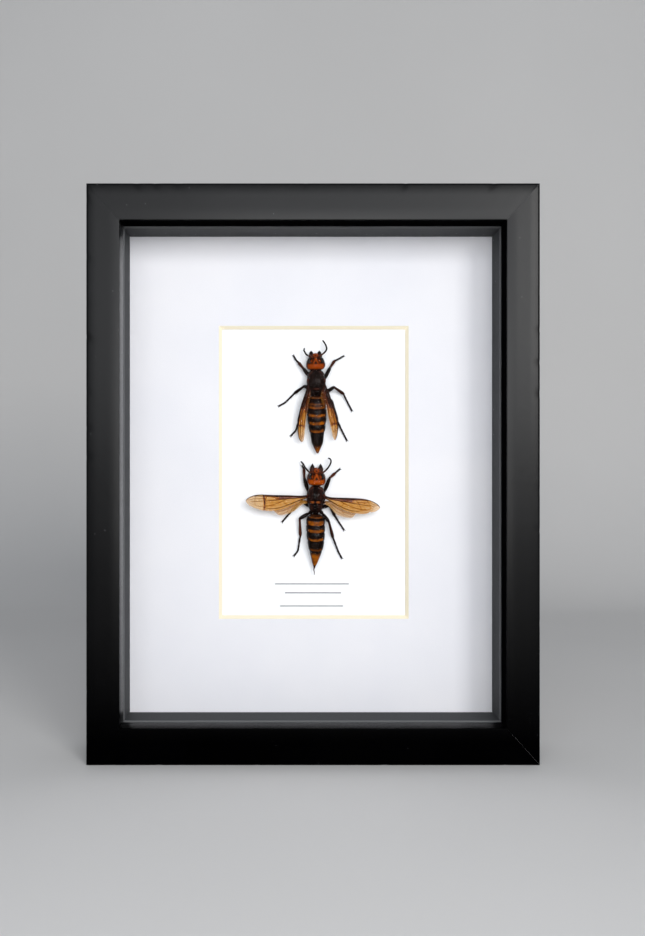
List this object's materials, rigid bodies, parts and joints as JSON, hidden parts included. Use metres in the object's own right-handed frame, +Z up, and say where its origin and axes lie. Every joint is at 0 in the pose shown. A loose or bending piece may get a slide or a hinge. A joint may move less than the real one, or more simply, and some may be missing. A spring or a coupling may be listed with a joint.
{
  "type": "framed asian giant hornet specimen",
  "caption": "Upright black box frame with dried Asian giant hornets on a white card behind glass, the lower with spread wings and the upper with folded wings, for display.",
  "frame": {"origin": "middle of the overall box's footprint, at the height of the frame's underside", "axes": "+Z up along the frame's height, +X to the viewer's right, +Y from the glass towards the back board"},
  "size_m": [0.2032, 0.038, 0.2606],
  "materials": {
    "frame_black": "satin black paint",
    "glass": "clear, polished",
    "spacer_grey": "dark grey faced foam board",
    "mat_white": "matt white with a cream core",
    "card_white": "smooth white",
    "hardboard": "plain brown hardboard",
    "zinc": "zinc plated",
    "shell_orange": "satin orange cuticle",
    "shell_dark": "satin black-brown cuticle with fine hair",
    "shell_banded": "satin cuticle, banded black and orange",
    "eye": "dark, finely faceted",
    "wing_amber": "translucent amber membrane with brown veins"
  },
  "bodies": {
    "root": {"rail_bottom": "frame_black", "rail_top": "frame_black", "rail_left": "frame_black", "rail_right": "frame_black", "glass": "glass", "spacer_bottom": "spacer_grey", "spacer_top": "spacer_grey", "spacer_left": "spacer_grey", "spacer_right": "spacer_grey", "mat": "mat_white", "card": "card_white", "back_board": "hardboard", "hanger": "zinc", "tab_bottom_1": "zinc", "tab_bottom_2": "zinc", "tab_top_1": "zinc", "tab_top_2": "zinc", "tab_left_1": "zinc", "tab_left_2": "zinc", "tab_right_1": "zinc", "tab_right_2": "zinc", "head": "shell_orange", "eye_left": "eye", "eye_right": "eye", "mandible_left": "shell_dark", "mandible_right": "shell_dark", "antenna_left": "shell_dark", "antenna_right": "shell_dark", "thorax": "shell_dark", "abdomen": "shell_banded", "sting": "shell_banded", "forewing_left": "wing_amber", "forewing_right": "wing_amber", "hindwing_left": "wing_amber", "hindwing_right": "wing_amber", "leg_front_left": "shell_dark", "leg_front_right": "shell_dark", "leg_middle_left": "shell_dark", "leg_middle_right": "shell_dark", "leg_hind_left": "shell_dark", "leg_hind_right": "shell_dark", "hornet_upper": "shell_banded"}
  },
  "joints": []
}
